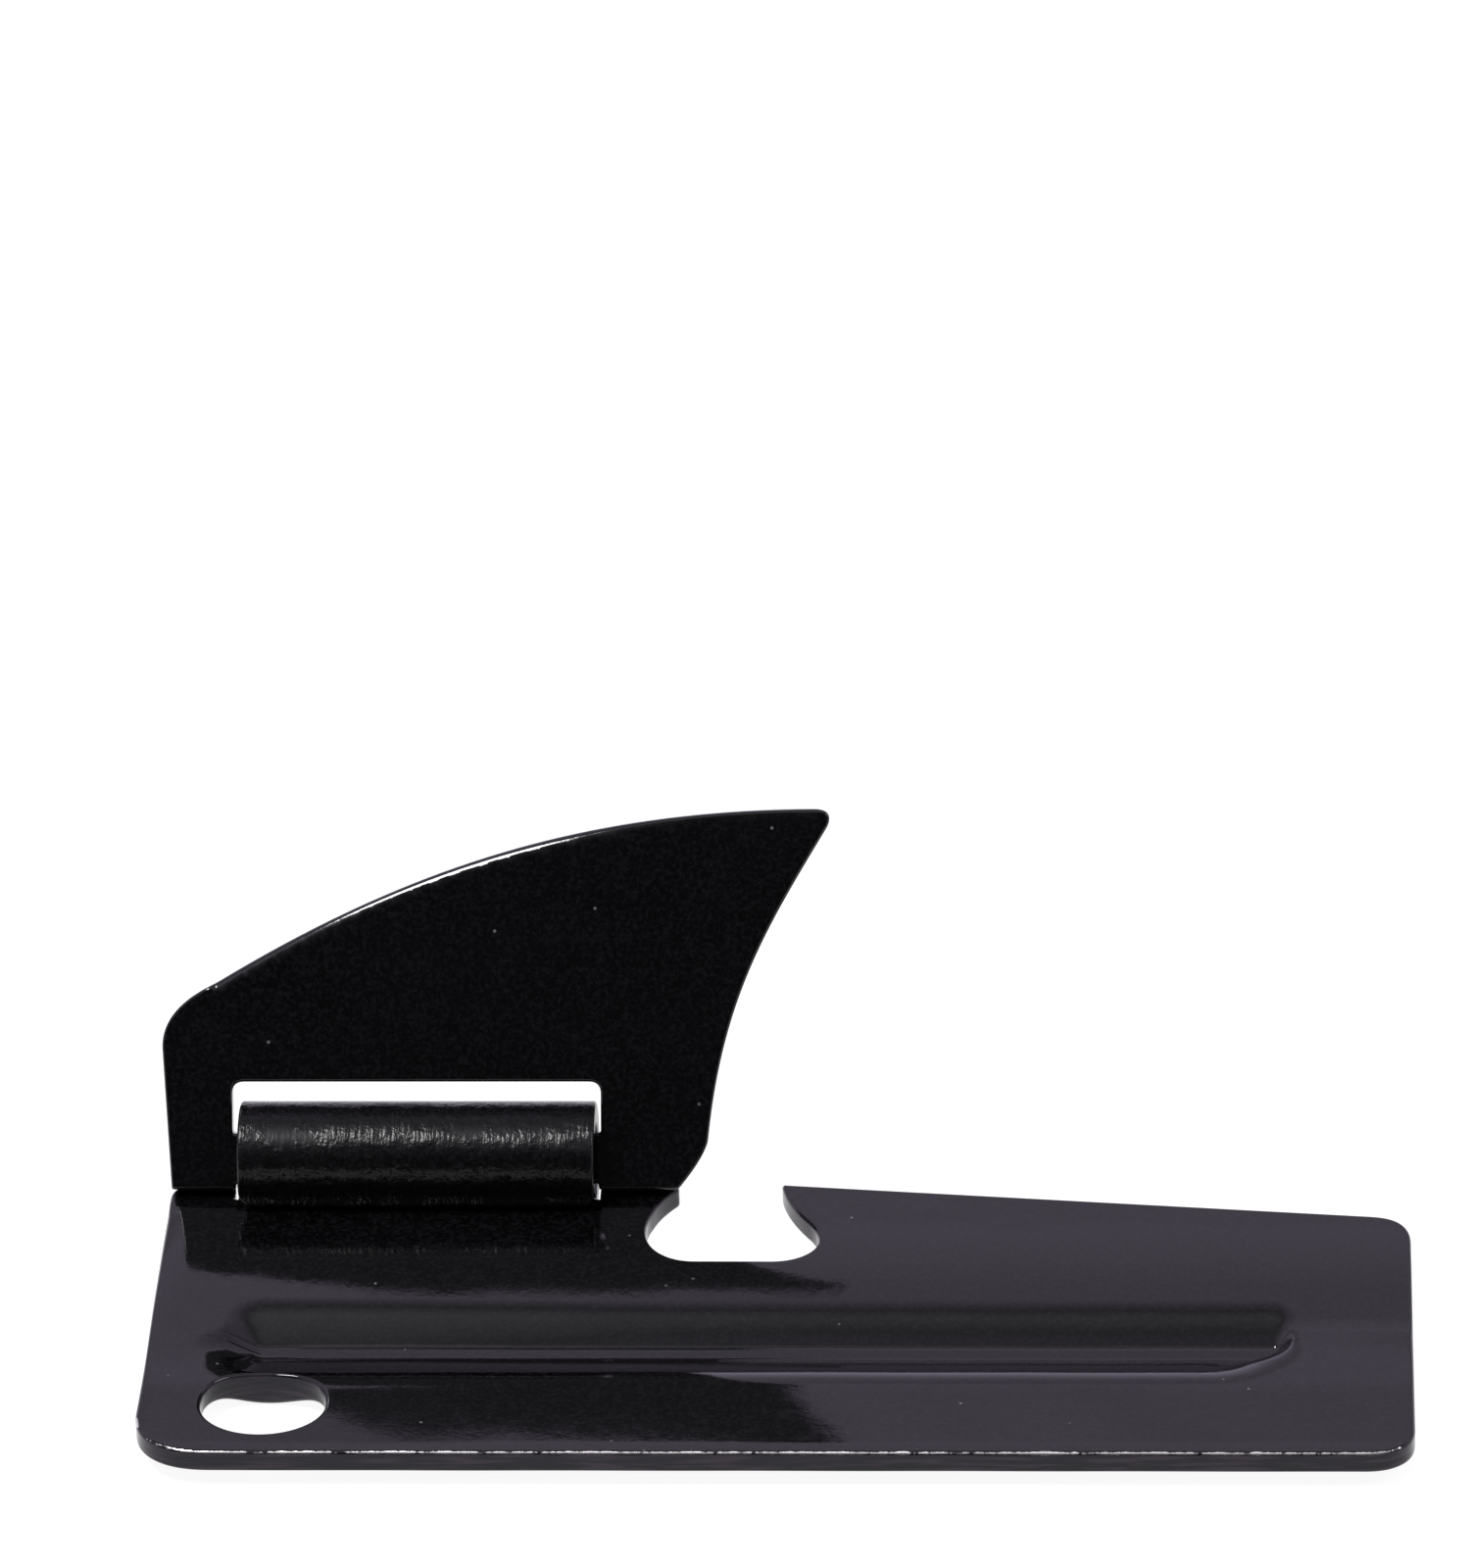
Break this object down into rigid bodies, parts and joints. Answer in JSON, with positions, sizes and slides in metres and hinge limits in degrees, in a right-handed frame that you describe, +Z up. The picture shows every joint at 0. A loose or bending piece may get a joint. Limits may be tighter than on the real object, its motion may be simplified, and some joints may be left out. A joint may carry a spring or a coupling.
{
  "type": "folding can opener",
  "caption": "Pocket can opener: flat stamped handle with a stiffening rib, rim notch, key hole and rolled hinge barrel, and a hooked blade that folds flat over it.",
  "frame": {"origin": "on the flat crest of the rib on the handle's underside, under the middle of the handle's length", "axes": "+X along the handle from the key-hole end, +Y from the straight front edge towards the hinge edge, +Z up towards the open blade"},
  "size_m": [0.0381, 0.0192, 0.0127],
  "materials": {
    "handle_enamel": "gloss",
    "blade_enamel": "gloss"
  },
  "bodies": {
    "handle": {"handle": "handle_enamel"},
    "blade": {"blade": "blade_enamel"}
  },
  "joints": [
    {"name": "blade_hinge", "type": "hinge", "parent": "handle", "child": "blade", "pos_m": [-0.01135, 0.00797, 0.00283], "axis": [1, 0, 0], "range_deg": [0, 121]}
  ]
}
